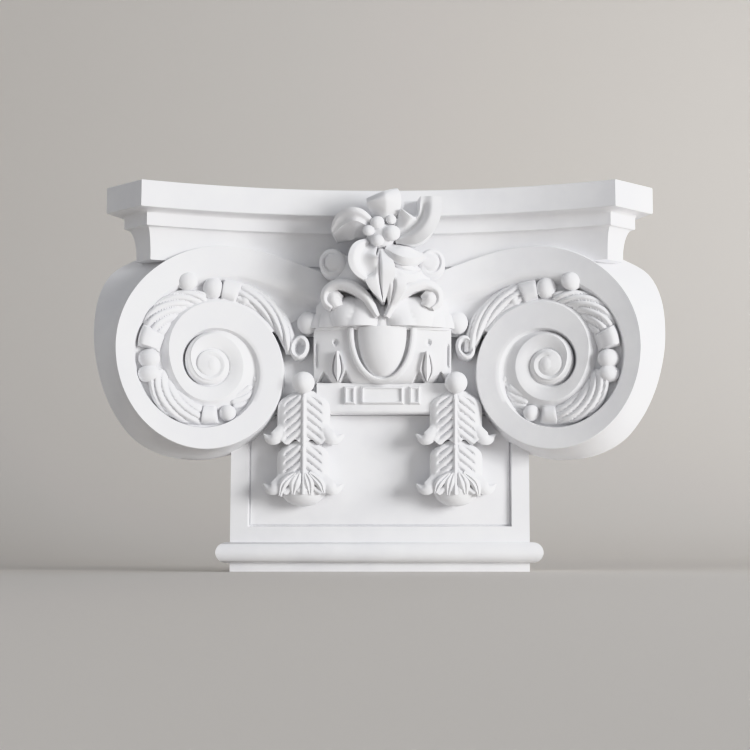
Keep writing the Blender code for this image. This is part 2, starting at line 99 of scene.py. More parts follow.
# %% Curve helpers
def smooth(knots, values, t):
    """A smooth curve through values at knots."""
    last = len(knots) - 1
    k = 0
    while k < last - 1 and t > knots[k + 1]:
        k += 1

    def slope(i):
        a, b = max(i - 1, 0), min(i + 1, last)
        return (values[b] - values[a]) / (knots[b] - knots[a])

    span = knots[k + 1] - knots[k]
    u = (t - knots[k]) / span
    return (values[k] * (2 * u ** 3 - 3 * u ** 2 + 1) + values[k + 1] * (3 * u ** 2 - 2 * u ** 3)
            + slope(k) * span * (u ** 3 - 2 * u ** 2 + u) + slope(k + 1) * span * (u ** 3 - u ** 2))


def path(points, t):
    """A place on the smooth curve through control points, for t from 0 to 1."""
    knots = [k / (len(points) - 1) for k in range(len(points))]
    return [smooth(knots, axis, t) for axis in zip(*points)]


def step(low, high, t):
    """Goes softly from 0 at low to 1 at high."""
    u = min(1.0, max(0.0, (t - low) / (high - low)))
    return u * u * (3 - 2 * u)


# %% [markdown]
# ## Three ways to start a form
#
# Almost every form here is one of three. A slab is a grid extruded into a closed plate, whose front
# and back are then laid where a formula says: petals, husks and sheaths. A drum is a cylinder cut
# into rings, each ring taking the outline of a moulding at one height. A ball is a sphere. Each is
# closed and faces outwards, because a Boolean union only joins closed shapes.

# %% Slab, drum and ball
SHAPES = []


def whole(bm):
    """All of a mesh, for an operator that cuts through it."""
    return bm.verts[:] + bm.edges[:] + bm.faces[:]


def finish_shape(name, bm, mirror=False):
    """Keeps a closed shape for the union, and its mirror image if the other half has one."""
    bmesh.ops.recalc_face_normals(bm, faces=bm.faces)
    if bm.calc_volume(signed=True) < 0:
        bmesh.ops.reverse_faces(bm, faces=bm.faces)
    sides = (1, -1) if mirror else (1,)
    for side in sides:
        copy = bm.copy()
        if side < 0:
            bmesh.ops.scale(copy, verts=copy.verts, vec=(-1, 1, 1))
            bmesh.ops.reverse_faces(copy, faces=copy.faces)
        mesh = bpy.data.meshes.new(name)
        copy.to_mesh(mesh)
        copy.free()
        SHAPES.append(bpy.data.objects.new(name, mesh))
    bm.free()


def slab(name, place, along, across, mirror=False):
    """A closed plate. place(u, v, side) lays it: u from 0 to 1, v from -1 to 1, side 1 in front, 0 behind."""
    bm = bmesh.new()
    bmesh.ops.create_grid(bm, x_segments=along, y_segments=across, size=1)
    raised = bmesh.ops.extrude_face_region(bm, geom=bm.faces[:], use_keep_orig=True)["geom"]
    verts = [part for part in raised if isinstance(part, bmesh.types.BMVert)]
    bmesh.ops.translate(bm, verts=verts, vec=(0, 0, 1))
    for vert in bm.verts:
        vert.co = place((vert.co.x + 1) / 2, vert.co.y, round(vert.co.z))
    finish_shape(name, bm, mirror)


def drum(name, rings, mirror=False):
    """A closed drum whose rings are the given outlines, lowest first."""
    count = len(rings[0])
    bm = bmesh.new()
    bmesh.ops.create_cone(bm, cap_ends=True, segments=count, radius1=1, radius2=1, depth=2)
    if len(rings) > 2:
        upright = [edge for edge in bm.edges if abs(edge.verts[0].co.z - edge.verts[1].co.z) > 1]
        bmesh.ops.subdivide_edges(bm, edges=upright, cuts=len(rings) - 2)
    for vert in bm.verts:
        k = round(math.atan2(vert.co.y, vert.co.x) / math.tau * count) % count
        ring = round((vert.co.z + 1) / 2 * (len(rings) - 1))
        vert.co = rings[ring][k]
    finish_shape(name, bm, mirror)


def ball(name, x, z, projection, radius, mirror=False, stretch=(1, 1, 1), turn=0.0, segments=24):
    """A sphere, stretched along x, out and up, and turned in its own plane by turn degrees."""
    bm = bmesh.new()
    bmesh.ops.create_uvsphere(bm, u_segments=segments, v_segments=segments // 2, radius=radius)
    bmesh.ops.rotate(bm, verts=bm.verts, matrix=Matrix.Rotation(math.radians(90), 3, "X"))
    bmesh.ops.scale(bm, verts=bm.verts, vec=stretch)
    bmesh.ops.rotate(bm, verts=bm.verts, matrix=Matrix.Rotation(math.radians(turn), 3, "Y"))
    bmesh.ops.translate(bm, verts=bm.verts, vec=point(x, projection, z))
    finish_shape(name, bm, mirror)


# %% [markdown]
# ## The neck and its panel
#
# The neck continues the pilaster's shaft. Its face has a panel sunk 3 mm, with a narrow sloped edge
# that catches the light and a fine groove along its foot that draws a line. A cube is cut by four
# planes, and the face they leave in the middle is inset and pushed in, then inset and let out.

# %% Neck
PANEL_MARGIN = 0.012
PANEL_HALF = NECK_WIDTH / 2 - PANEL_MARGIN
PANEL_BOTTOM = 0.0305
PANEL_TOP = 0.1085
PANEL_DEPTH = 0.003
PANEL_EDGE = 0.0012
PANEL_QUIRK = 0.0013
FASCIA_HEIGHT = 0.018


def neck():
    """The block of the neck with the sunk panel in its face."""
    top = HEIGHT - FASCIA_HEIGHT
    bm = bmesh.new()
    bmesh.ops.create_cube(bm, size=1)
    bmesh.ops.scale(bm, verts=bm.verts, vec=(NECK_WIDTH, NECK_DEPTH, top))
    bmesh.ops.translate(bm, verts=bm.verts, vec=point(0, NECK_DEPTH / 2, top / 2))
    for place, normal in (((PANEL_HALF, 0, 0), (1, 0, 0)), ((-PANEL_HALF, 0, 0), (1, 0, 0)),
                          ((0, 0, PANEL_BOTTOM), (0, 0, 1)), ((0, 0, PANEL_TOP), (0, 0, 1))):
        bmesh.ops.bisect_plane(bm, geom=whole(bm), plane_co=place, plane_no=normal)
    centre = point(0, NECK_DEPTH, (PANEL_BOTTOM + PANEL_TOP) / 2)
    panel = min(bm.faces, key=lambda face: (face.calc_center_median() - centre).length)
    bmesh.ops.inset_region(bm, faces=[panel], thickness=PANEL_EDGE, depth=-PANEL_DEPTH - PANEL_QUIRK)
    bmesh.ops.inset_region(bm, faces=[panel], thickness=PANEL_QUIRK, depth=PANEL_QUIRK)
    finish_shape("neck", bm)


neck()
print("Panel", round(2000 * PANEL_HALF, 1), "mm wide")

# %% [markdown]
# ## The astragal
#
# A half-round bead over a thin fillet runs round the foot of the neck and dies into the wall. Its
# outline in plan is a rectangle, so it is a drum with four corners whose rings follow a half circle.

# %% Astragal
FILLET_HEIGHT = 0.006
ASTRAGAL_RADIUS = 0.007
ASTRAGAL_REACH = 0.0088
ASTRAGAL_RINGS = 24


def astragal():
    """The bead round the foot of the neck, as rings from its lower edge to its upper one."""
    rings = []
    for k in range(ASTRAGAL_RINGS + 1):
        a = math.pi * (k / ASTRAGAL_RINGS - 0.5)
        out = ASTRAGAL_REACH - ASTRAGAL_RADIUS + ASTRAGAL_RADIUS * math.cos(a)
        z = FILLET_HEIGHT + ASTRAGAL_RADIUS * (1 + math.sin(a))
        x, reach = NECK_WIDTH / 2 + out, NECK_DEPTH + out
        rings.append([point(x, reach, z), point(-x, reach, z), point(-x, 0, z), point(x, 0, z)])
    drum("astragal", rings)


astragal()

# %% [markdown]
# ## The abacus
#
# The top slab is hollow in plan on the front and on both sides, with its corners cut off. Under its
# plain fascia come a narrow soffit that curves down, a band and a large hollow, which run round the
# corners. A plasterer runs such a moulding with a template, and here too one profile is drawn along
# one outline: the outline is set in further at each height.

# %% Abacus
CUT_ACROSS = 0.0283
CUT_BACK = 0.026
PLAN_STEPS = 22
SIDE_STEPS = 10
COVE_STEPS = 10
ARRIS = 0.0005
ARRIS_INSET = 0.0025
SOFFIT_INSET = 0.0098
SOFFIT_DROP = 0.0022
SOFFIT_CURVE = ((0.0038, 0.0001), (0.0020, 0.0005), (0.0007, 0.0013))
BAND_HEIGHT = 0.0083
STEP_INSET = 0.0013
BELL_INSET = 0.0168
BELL_HEIGHT = 0.0195
BELL_SKIRT = 0.0025
SIDE_CENTRE_X = CORNER_X + CUT_ACROSS + math.sqrt(ARC_RADIUS ** 2 - CORNER_X ** 2)
SIDE_CENTRE = FRONT_CORNER - CUT_BACK - CORNER_X


def plan(inset, z):
    """The abacus's outline at one height, inset all round but for the wall."""
    length = math.hypot(CUT_ACROSS, CUT_BACK)
    across, back = CUT_BACK / length, CUT_ACROSS / length
    reach = across * CORNER_X + back * FRONT_CORNER - inset
    radius = ARC_RADIUS + inset
    corner_x = radius * math.sin(math.asin((reach - back * ARC_CENTRE) / radius) + math.atan2(back, across))
    side_reach = reach - across * SIDE_CENTRE_X - back * SIDE_CENTRE
    start = math.asin(side_reach / radius) + math.atan2(across, back)
    end = math.asin(-SIDE_CENTRE / radius)
    half = [point(corner_x * k / PLAN_STEPS, front(corner_x * k / PLAN_STEPS, inset), z)
            for k in range(PLAN_STEPS + 1)]
    turns = [start + (end - start) * k / SIDE_STEPS for k in range(SIDE_STEPS + 1)]
    half += [point(SIDE_CENTRE_X - radius * math.cos(a), SIDE_CENTRE + radius * math.sin(a), z)
             for a in turns]
    return [Vector((-p.x, p.y, p.z)) for p in reversed(half[1:])] + half


def abacus():
    """The top slab, from the profile of its edge: how far in and how high, from the top downwards."""
    fascia = HEIGHT - FASCIA_HEIGHT
    profile = [(ARRIS, HEIGHT), (0.0, HEIGHT - ARRIS), (0.0, fascia + ARRIS), (ARRIS, fascia),
               (ARRIS_INSET, fascia)]
    band = fascia - SOFFIT_DROP
    bell = band - BAND_HEIGHT
    start = SOFFIT_INSET + STEP_INSET
    profile += [(SOFFIT_INSET - across, fascia - down) for across, down in SOFFIT_CURVE]
    profile += [(SOFFIT_INSET, band - ARRIS), (SOFFIT_INSET, bell + ARRIS), (SOFFIT_INSET + ARRIS, bell)]
    for k in range(COVE_STEPS + 1):
        a = math.pi / 2 * k / COVE_STEPS
        profile.append((start + (BELL_INSET - start) * math.sin(a), bell - BELL_HEIGHT * (1 - math.cos(a))))
    profile.append((BELL_INSET, bell - BELL_HEIGHT - BELL_SKIRT))
    drum("abacus", [plan(inset, z) for inset, z in reversed(profile)])


abacus()
print(len(SHAPES), "plain forms")

# %% [markdown]
# ## The scrolls
#
# A scroll is a band that winds in on itself, with a sunk channel between its turns. Its outline
# isn't a mathematical spiral: the measured radius falls fast on the outer side and hardly at all
# below, so both edges of the band are smooth curves through measured radii. One long grid is wound
# up: its length is the angle, its width is the way from one turn's edge to the next. Where the turns
# meet, equal corners are merged, and the free edge is drawn back to the wall as a hollow, flaring rim.
# The channel is wide for the garland, then a deep and narrow groove, and it runs out near the eye.

# %% Measured radii of the scroll, in degrees from the top towards the outer side
WHORL_ANGLES = (-60, -40, -15, 0, 90, 180, 270, 360, 450, 540,
                630, 720, 810, 900, 990, 1080, 1170, 1260, 1350, 1440)
WHORL_RADII = (0.109, 0.0925, 0.0835, 0.081, 0.059, 0.0575, 0.0485, 0.0427, 0.0256, 0.0254,
               0.0226, 0.0206, 0.012, 0.011, 0.0103, 0.0087, 0.0075, 0.0066, 0.0058, 0.005)
BAND_ANGLES = (-60, -40, -15, 0, 90, 180, 270, 360, 450, 540, 630, 720, 810, 900, 990, 1080)
BAND_RADII = (0.088, 0.0715, 0.0635, 0.0606, 0.0486, 0.043, 0.033, 0.0244, 0.0183, 0.0160,
              0.0135, 0.0118, 0.0098, 0.0088, 0.0080, 0.0066)
FACE_INSET = 0.012        # The scroll's face lies this far behind the abacus
WHORL_START, WHORL_END = -60, 1080
TURN_STEPS = 120
SLOPE_STEPS = 5
CHANNEL_DEPTH = 0.0075    # Times the share at each angle
DEPTH_ANGLES = (-60, 180, 225, 270, 330, 380, 420, 470, 540, 630, 720, 810, 900, 990, 1080)
DEPTH_SHARES = (1.0, 1.0, 0.72, 0.45, 0.42, 0.9, 1.35, 1.2, 0.6, 0.5, 0.45, 0.32, 0.2, 0.1, 0.08)
SOFT_ANGLES = (-60, -20, 20, 45, 190, 240, 320, 380, 480, 560, 700, 780, 1080)
SOFT_WIDTHS = (0.010, 0.008, 0.004, 0.0014, 0.0014, 0.0042, 0.0036, 0.0009, 0.0009, 0.0024, 0.0022,
               0.0010, 0.0010)
SOFT_SHARE = 0.35         # The channel's outer side takes no more of the room between two turns
FOOT_WIDTH = 0.0062       # The channel's inner side
FOOT_SHARE, INNER_FOOT_SHARE = 0.8, 0.97
FOOT_CURVE, INNER_FOOT_CURVE = 1.15, 2.6
BAND_FALL = 0.62          # How far the inner turns' band falls into the channel, as a share of its depth
EDGE_SINK = 0.0005
RIM_DEPTH = 0.026
RIM_STEPS = 8
RIM_CURVE = 1.9
FLARE_ANGLES = (-60, 0, 35, 50, 75, 90, 105, 120, 135, 150, 165, 180, 195, 240, 300)
FLARE_WIDTHS = (0.0, 0.004, 0.0185, 0.0255, 0.0207, 0.018, 0.0165, 0.0157, 0.015, 0.0118, 0.0078, 0.005,
                0.0028, 0.0, 0.0)
EYE_HOLE = 0.012
EYE_RADIUS = 0.0070
EYE_SHIFT, EYE_SUNK = 0.0008, 0.0042
EYE_STRETCH = (1.0, 0.62, 1.15)


def whorl(angle):
    """Radius of the band's outer edge."""
    return smooth(WHORL_ANGLES, WHORL_RADII, angle)


def scroll_place(angle, radius, sunk=0.0):
    """A place on the scroll's face, which follows the hollow of the front."""
    a = math.radians(angle)
    x = EYE_X + radius * math.sin(a)
    return point(x, front(x, FACE_INSET) - sunk, EYE_Z + radius * math.cos(a))


def scroll_section(angle):
    """Radius and depth across the band and its channel, from one turn's edge to the next turn's."""
    edge, inner = whorl(angle), whorl(angle + 360)
    band = smooth(BAND_ANGLES, BAND_RADII, angle)
    depth = CHANNEL_DEPTH * smooth(DEPTH_ANGLES, DEPTH_SHARES, angle)
    drop = depth * BAND_FALL * step(470, 590, angle)
    room = band - inner
    wall = min(smooth(SOFT_ANGLES, SOFT_WIDTHS, angle), SOFT_SHARE * room)
    foot = min(FOOT_WIDTH, (room - wall) * (FOOT_SHARE if angle < 300 else INNER_FOOT_SHARE))
    places = [(edge, EDGE_SINK), (edge - EDGE_SINK, 0.0)]
    width = edge - EDGE_SINK - band
    for k in range(1, SLOPE_STEPS + 1):
        share = k / SLOPE_STEPS
        places.append((edge - EDGE_SINK - width * share, drop * share ** 1.5))
    for k in range(1, SLOPE_STEPS + 1):
        share = k / SLOPE_STEPS
        places.append((band - wall * share, drop + (depth - drop) * step(0, 1, share)))
    round_out = FOOT_CURVE + INNER_FOOT_CURVE * step(330, 430, angle)
    floor = band - wall - inner - foot
    places += [(band - wall - floor / 2, depth), (inner + foot, depth)]
    for k in range(1, SLOPE_STEPS + 1):
        share = k / (SLOPE_STEPS + 1)
        rise = 1 - (1 - share) ** round_out
        places.append((inner + foot * (1 - share), depth - (depth - EDGE_SINK * 2) * rise))
    places += [(inner + EDGE_SINK * 0.6, EDGE_SINK * 1.3), (inner, EDGE_SINK)]
    return places


def rim_place(start, share, flare):
    """A place on the rim, a share of its flare out behind a place of the outline. Share None is the wall."""
    x, z = start.x - EYE_X, start.z - EYE_Z
    angle = math.degrees(math.atan2(x, z))
    if angle < WHORL_START:
        angle += 360
    grow = 1 + flare * smooth(FLARE_ANGLES, FLARE_WIDTHS, angle) / math.hypot(x, z)
    projection = 0.0 if share is None else WALL_Y - start.y - RIM_DEPTH * share
    return point(EYE_X + x * grow, projection, EYE_Z + z * grow)


def wound_band(bm):
    """Winds a grid into the band, and merges each turn's inner edge with the next turn's outer edge."""
    count = (WHORL_END - WHORL_START) * TURN_STEPS // 360
    sections = [scroll_section(WHORL_START + k * 360 / TURN_STEPS) for k in range(count + 1)]
    across = len(sections[0]) - 1
    bmesh.ops.create_grid(bm, x_segments=count, y_segments=across, size=1)
    for vert in bm.verts:
        k = round((vert.co.x + 1) / 2 * count)
        radius, sunk = sections[k][round((vert.co.y + 1) / 2 * across)]
        vert.co = scroll_place(WHORL_START + k * 360 / TURN_STEPS, radius, sunk)
    bmesh.ops.remove_doubles(bm, verts=bm.verts, dist=1e-6)


def volute():
    """The wound band, closed at the eye, with its rim drawn back to the wall and closed there."""
    bm = bmesh.new()
    wound_band(bm)
    eye = scroll_place(0, 0)
    hole = [edge for edge in bm.edges if edge.is_boundary and (edge.verts[0].co - eye).length < EYE_HOLE]
    bmesh.ops.edgeloop_fill(bm, edges=hole)
    outline = bm.verts.layers.float_vector.new("outline")
    for vert in bm.verts:
        vert[outline] = vert.co
    rings = [(k / RIM_STEPS, (k / RIM_STEPS) ** RIM_CURVE) for k in range(1, RIM_STEPS + 1)]
    edge = [edge for edge in bm.edges if edge.is_boundary]
    for share, flare in rings + [(None, 0.0)]:
        grown = bmesh.ops.extrude_edge_only(bm, edges=edge)["geom"]
        for vert in (part for part in grown if isinstance(part, bmesh.types.BMVert)):
            vert.co = rim_place(vert[outline], share, flare)
        edge = [part for part in grown if isinstance(part, bmesh.types.BMEdge) and part.is_boundary]
    bmesh.ops.edgeloop_fill(bm, edges=edge)
    bm.verts.layers.float_vector.remove(outline)
    finish_shape("volute", bm, mirror=True)
    ball("eye", eye.x + EYE_SHIFT, eye.z, WALL_Y - eye.y - EYE_SUNK, EYE_RADIUS, True, EYE_STRETCH)


volute()
print("Scroll from", round(whorl(0) * 1000), "mm at the top to",
      round(whorl(WHORL_END) * 1000, 1), "mm at the eye")

# %% [markdown]
# ## The garland in the channel
#
# A garland of ribbed sheaths, collars and buds winds round the channel. A sheath is a rounded strip
# through a few radii. Its strands run at an angle to it and veer outwards, and each ends in a small
# tip on the outer edge, so one phase, measured square to the strands, gives both the grooves and
# the tips. Beads and lobes are low, as a mould gives them.

# %% Garland
STRAND_SPACING = 0.0043
STRAND_TIP = 0.10         # How far the strands' ends stand out, as a share of the half width
SHEATH_FLOOR = 0.004


def ridge(phase):
    """A rounded ridge between narrow grooves, from 0 in a groove to 1 on the ridge."""
    return 1 - abs(2 * (phase % 1.0) - 1) ** 3


def sheath(first, last, radii, halves, crown, groove=0.0, slant=0, along=52, across=20):
    """A strip of the garland through radii at even angles, grooved into strands at a slant to it."""
    lean = math.radians(slant)

    def place(u, v, side):
        angle = first + (last - first) * u
        middle = path([(radius,) for radius in radii], u)[0]
        half = path([(width,) for width in halves], u)[0]
        run = math.radians(angle - first) * middle
        phase = (run * math.sin(lean) - half * v * math.cos(lean)) / STRAND_SPACING
        tip = 1 + STRAND_TIP * (ridge(phase) - 0.5) * (groove > 0)
        edge = math.sqrt(max(0.0, 1 - (abs(v) * 0.97) ** 2.4))
        end = math.sqrt(max(0.0, 1 - (2 * u - 1) ** 8))
        lift = crown * edge * (0.55 + 0.45 * end) + groove * (ridge(phase) - 1) * (0.25 + 0.75 * edge)
        return scroll_place(angle, middle + half * v * tip, CHANNEL_DEPTH - (lift if side else -SHEATH_FLOOR))
    slab("sheath", place, along, across, mirror=True)


def garland_ball(name, angle, radius_out, radius, lift=0.0, stretch=(1, 0.8, 1)):
    """A bead or a lobe of the garland, with its middle lifted from the channel's floor."""
    centre = scroll_place(angle, radius_out, CHANNEL_DEPTH - lift)
    ball(name, centre.x, centre.z, WALL_Y - centre.y, radius, True, stretch, angle)


def garland():
    """The sheaths in order round the channel, then the beads, the lobes and the small curls."""
    sheath(-80, -19, (0.0540, 0.0545, 0.0540, 0.0525), (0.0035, 0.0062, 0.0072, 0.0080), 0.0090, 0.0024, 12)
    sheath(-20.5, -7.5, (0.0522, 0.0522), (0.0080, 0.0078, 0.0074), 0.0098, along=10)
    sheath(4, 60, (0.0460, 0.0474, 0.0458, 0.0426), (0.0035, 0.0066, 0.0084, 0.0084), 0.0094, 0.0030, 28)
    sheath(58.5, 77, (0.0426, 0.0412), (0.0078, 0.0076, 0.0070), 0.0102, along=10)
    sheath(98, 172, (0.0352, 0.0358, 0.0352, 0.0345), (0.0050, 0.0084, 0.0088, 0.0066), 0.0088, 0.0022, 16)
    sheath(171, 188, (0.0345, 0.0338), (0.0066, 0.0066, 0.0062), 0.0086, along=10)
    sheath(208, 244, (0.0305, 0.0290), (0.0035, 0.0060, 0.0055, 0.0025), 0.0056, 0.0018, 25)
    sheath(258, 292, (0.0280, 0.0262), (0.0020, 0.0045, 0.0050, 0.0020), 0.0024, along=14)
    garland_ball("bead", -1.0, 0.0522, 0.0074, 0.0040, (0.95, 0.75, 1.02))
    garland_ball("lobe", 15.5, 0.0578, 0.0070, 0.0066, (1.0, 0.6, 0.9))
    garland_ball("bead", 86.5, 0.0392, 0.0072, 0.0044, (0.92, 0.75, 1.02))
    garland_ball("lobe", 101, 0.0402, 0.0060, 0.0046, (1.0, 0.75, 1.2))
    garland_ball("bead", 199.5, 0.0347, 0.0056, 0.0036)
    garland_ball("seed", 253, 0.0308, 0.0024, 0.0026)
    garland_ball("curl", -26, 0.0500, 0.0040, 0.0050)
    garland_ball("nub", 27, 0.0440, 0.0040, 0.0030)


garland()
print(len(SHAPES), "forms with the garland")

# %% [markdown]
# ## The egg-and-dart moulding
#
# The echinus is a quarter-round that swings out in the middle. The egg sits in a raised border,
# between two darts. Beside each dart the ground is cut away in a small triangle, and above it is a
# dimple, as a carver leaves from a drill. The ground with its cuts is one slab whose front is laid
# by a formula; the egg, its border and the darts are slabs on top. Below it three small tablets
# with sunk fields stand on a flat bed.

# %% Echinus
ECHINUS_HALF = 0.047
ECHINUS_MIDDLE = 0.078
ECHINUS_SIDE = 0.070
ECHINUS_UNDERCUT = 0.012
EGG_HALF = 0.0170
EGG_LENGTH = 0.0338
EGG_REACH = 0.0075
EGG_ROOT = 0.004          # The egg's edge lies this far in the ground
RELIEF_ROOT = 0.004       # The backs of the raised forms lie this far in it
RING_HALF = 0.0214
RING_LENGTH = 0.0355
RING_WIDTH = 0.0042
RING_REACH = 0.0034
GROOVE_HALF, GROOVE_LENGTH = 0.0182, 0.0345
GROOVE_DEPTH = 0.0035
END_GROOVE_X = ECHINUS_HALF - 0.0022
END_GROOVE_WIDTH = 0.0014
DART_X = 0.0305
DART_TOP, DART_LENGTH = 0.56, 0.53
DART_LIFT = 0.0026
DIMPLE_X, DIMPLE_Z = 0.0318, ECHINUS_TOP - 0.0098
DIMPLE_RADIUS = 0.0021
DIMPLE_DEPTH = 0.0034
NOTCH_DEPTH = 0.0065
NOTCH_HEIGHT = 0.24
NOTCH_SIDE = 0.0012
NOTCHES = ((0.0250, 0.0045), (0.0398, 0.0054))
TABLET_HEIGHT = 0.0125
TABLET_TOP = ECHINUS_BOTTOM - 0.002
TABLET_EDGE = 0.0022
BED_HALF = 0.045
BED_REACH = 0.0645
BED_LIP = 0.006
BELL_HALF, BELL_REACH = 0.075, 0.060
BELL_ROOT = 0.004


def echinus_front(x, z):
    """Projection of the moulding's rounded ground."""
    share = min(1.0, max(0.0, (ECHINUS_TOP - z) / (ECHINUS_TOP - ECHINUS_BOTTOM)))
    swing = (ECHINUS_MIDDLE - ECHINUS_SIDE) * (1 - min(1.0, abs(x) / ECHINUS_HALF) ** 2)
    return ECHINUS_SIDE + swing - ECHINUS_UNDERCUT * (1 - math.sqrt(1 - 0.995 * share ** 2))


def echinus_cuts(x, z):
    """How far the ground is cut in: dimples above, notches beside the darts, a groove at each end."""
    x = abs(x)
    dimple = 1 - step(0.4, 1.1, math.hypot(x - DIMPLE_X, z - DIMPLE_Z) / DIMPLE_RADIUS)
    depth = DIMPLE_DEPTH * dimple
    up = (z - ECHINUS_BOTTOM) / (ECHINUS_TOP - ECHINUS_BOTTOM)
    for middle, half in NOTCHES:
        room = half * (1 - up / NOTCH_HEIGHT)
        depth = max(depth, NOTCH_DEPTH * (1 - step(room - NOTCH_SIDE, room, abs(x - middle))) * (room > 0))
    end = 1 - step(0.0, END_GROOVE_WIDTH, abs(x - END_GROOVE_X))
    end_groove = GROOVE_DEPTH * end * step(0.25, 0.35, up) * (1 - step(0.65, 0.75, up))
    round_egg = math.hypot(x / GROOVE_HALF, (ECHINUS_TOP - z) / GROOVE_LENGTH)
    egg_groove = GROOVE_DEPTH * (1 - step(0.05, 0.13, abs(round_egg - 1.0))) * step(0.08, 0.38, up)
    return max(depth, end_groove, egg_groove)


def echinus():
    """The ground, the egg in the middle and the border round it."""
    def ground(u, v, side):
        x = ECHINUS_HALF * v
        z = ECHINUS_TOP - (ECHINUS_TOP - ECHINUS_BOTTOM) * math.sin(math.pi / 2 * (1 - u))
        return point(x, echinus_front(x, z) - echinus_cuts(x, z) if side else NECK_DEPTH - 0.004, z)
    slab("echinus", ground, 40, 110)

    def egg(u, v, side):
        share = 0.97 * math.sin(math.pi / 2 * u)
        shrink = math.sqrt(1 - share ** 2.3)
        x, z = EGG_HALF * shrink * math.sin(math.pi / 2 * v), ECHINUS_TOP - EGG_LENGTH * share
        base = echinus_front(x, z) - EGG_ROOT
        bulge = (EGG_REACH + EGG_ROOT) * math.cos(math.pi / 2 * v * 0.98) ** 0.7 * (0.35 + 0.65 * shrink)
        return point(x, base + (bulge if side else -RELIEF_ROOT), z)
    slab("egg", egg, 24, 24)

    def border(u, v, side):
        a = math.pi * u
        widen = 1 + RING_WIDTH / 2 * v / RING_HALF
        x = RING_HALF * widen * math.cos(a)
        z = ECHINUS_TOP - 0.0005 - RING_LENGTH * (1 + 0.052 * v) * math.sin(a) ** 0.9
        lift = RING_REACH * (1 - 0.6 * v ** 4)
        return point(x, echinus_front(x, z) + (lift if side else -RELIEF_ROOT), z)
    slab("egg_border", border, 48, 8)


def dart(u, v, side):
    """A dart: a ridged blade with a groove along each side."""
    z = ECHINUS_BOTTOM + (ECHINUS_TOP - ECHINUS_BOTTOM) * (DART_TOP - DART_LENGTH * u)
    half = path(((0.0014,), (0.0036,), (0.0044,), (0.0008,)), u)[0]
    x = DART_X + half * v
    groove = 0.0040 * math.exp(-((abs(v) - 0.64) / 0.15) ** 2) * step(0, 0.2, u)
    lift = DART_LIFT + DART_LIFT * (1 - abs(v)) - groove
    return point(x, echinus_front(x, z) + (lift if side else -2 * RELIEF_ROOT), z)


def tablet(x, half, mirror):
    """A small raised tablet with sloped edges and a sunk field."""
    middle = TABLET_TOP - TABLET_HEIGHT / 2

    def place(u, v, side):
        w, h = half * v, TABLET_HEIGHT / 2 * (2 * u - 1)
        inset = min(1.0, (half - abs(w)) / TABLET_EDGE, (TABLET_HEIGHT / 2 - abs(h)) / TABLET_EDGE)
        lift = 0.0004 + 0.0030 * min(1.0, 1.8 * inset) - 0.0020 * step(0.60, 1.0, inset)
        return point(x + w, BED_REACH + (lift if side else -RELIEF_ROOT), middle + h)
    slab("tablet", place, 24, 40, mirror)


def bed():
    """The flat bed behind the tablets, with a rounded lower lip, and the bell behind the spray."""
    low = TABLET_TOP - TABLET_HEIGHT - BED_LIP

    def place(u, v, side):
        z = low + (ECHINUS_BOTTOM + 0.0003 - low) * u
        lip = 0.0012 * (1 - step(0.0, 0.06, u))
        return point(BED_HALF * v, BED_REACH - lip if side else 0.0, z)
    slab("bed", place, 30, 2)

    def bell(u, v, side):
        z = ECHINUS_TOP - BELL_ROOT + (FLOWER_Z - ECHINUS_TOP + BELL_ROOT) * u
        return point(BELL_HALF * v, BELL_REACH if side else 0.0, z)
    slab("bell", bell, 2, 2)


MIDDLE_SHIFT = 0.0018     # The moulding, the flower and the spray sit a little right of the middle


def shift_from(first):
    """Moves the shapes made since the first one to where the middle ornaments sit."""
    for shape in SHAPES[first:]:
        shape.data.transform(Matrix.Translation((MIDDLE_SHIFT, 0, 0)))


moulding = len(SHAPES)
echinus()
slab("dart", dart, 24, 12, mirror=True)
tablet(0.0, 0.0148, False)
tablet(0.0222, 0.0040, True)
bed()
shift_from(moulding)
print("Egg and dart from", round(ECHINUS_BOTTOM * 1000), "to", round(ECHINUS_TOP * 1000), "mm high")

# %% [markdown]
# ## The hanging drops
#
# Each drop is a bead with two husks under it. A husk is a bulging leaf cup: a raised stem in the
# middle, ribs that slant down from it like feathers, a smooth lobe on each side, and lower corners
# that curl outwards. The lower husk ends in split tips over a round bud.

# %% Husks
DROP_X = 0.0520
DROP_BEAD_RADIUS = 0.0077
HUSK_LENGTH = 0.034
HUSK_REACH = 0.067
HUSK_CROWN = 0.0075
DROP_TOP = ECHINUS_BOTTOM - 0.7 * DROP_BEAD_RADIUS
RIB_SPACING = 0.0058
RIB_SLANT = 0.78
RIB_GROOVE = 0.0026
RIB_REACH = 0.0135
STEM_HALF = 0.0016
STEM_RISE = 0.0012
LOBE_WAVES = 7.5          # Quarter turns of the lower edge's wave over the half width
HUSK_BACK = 0.016


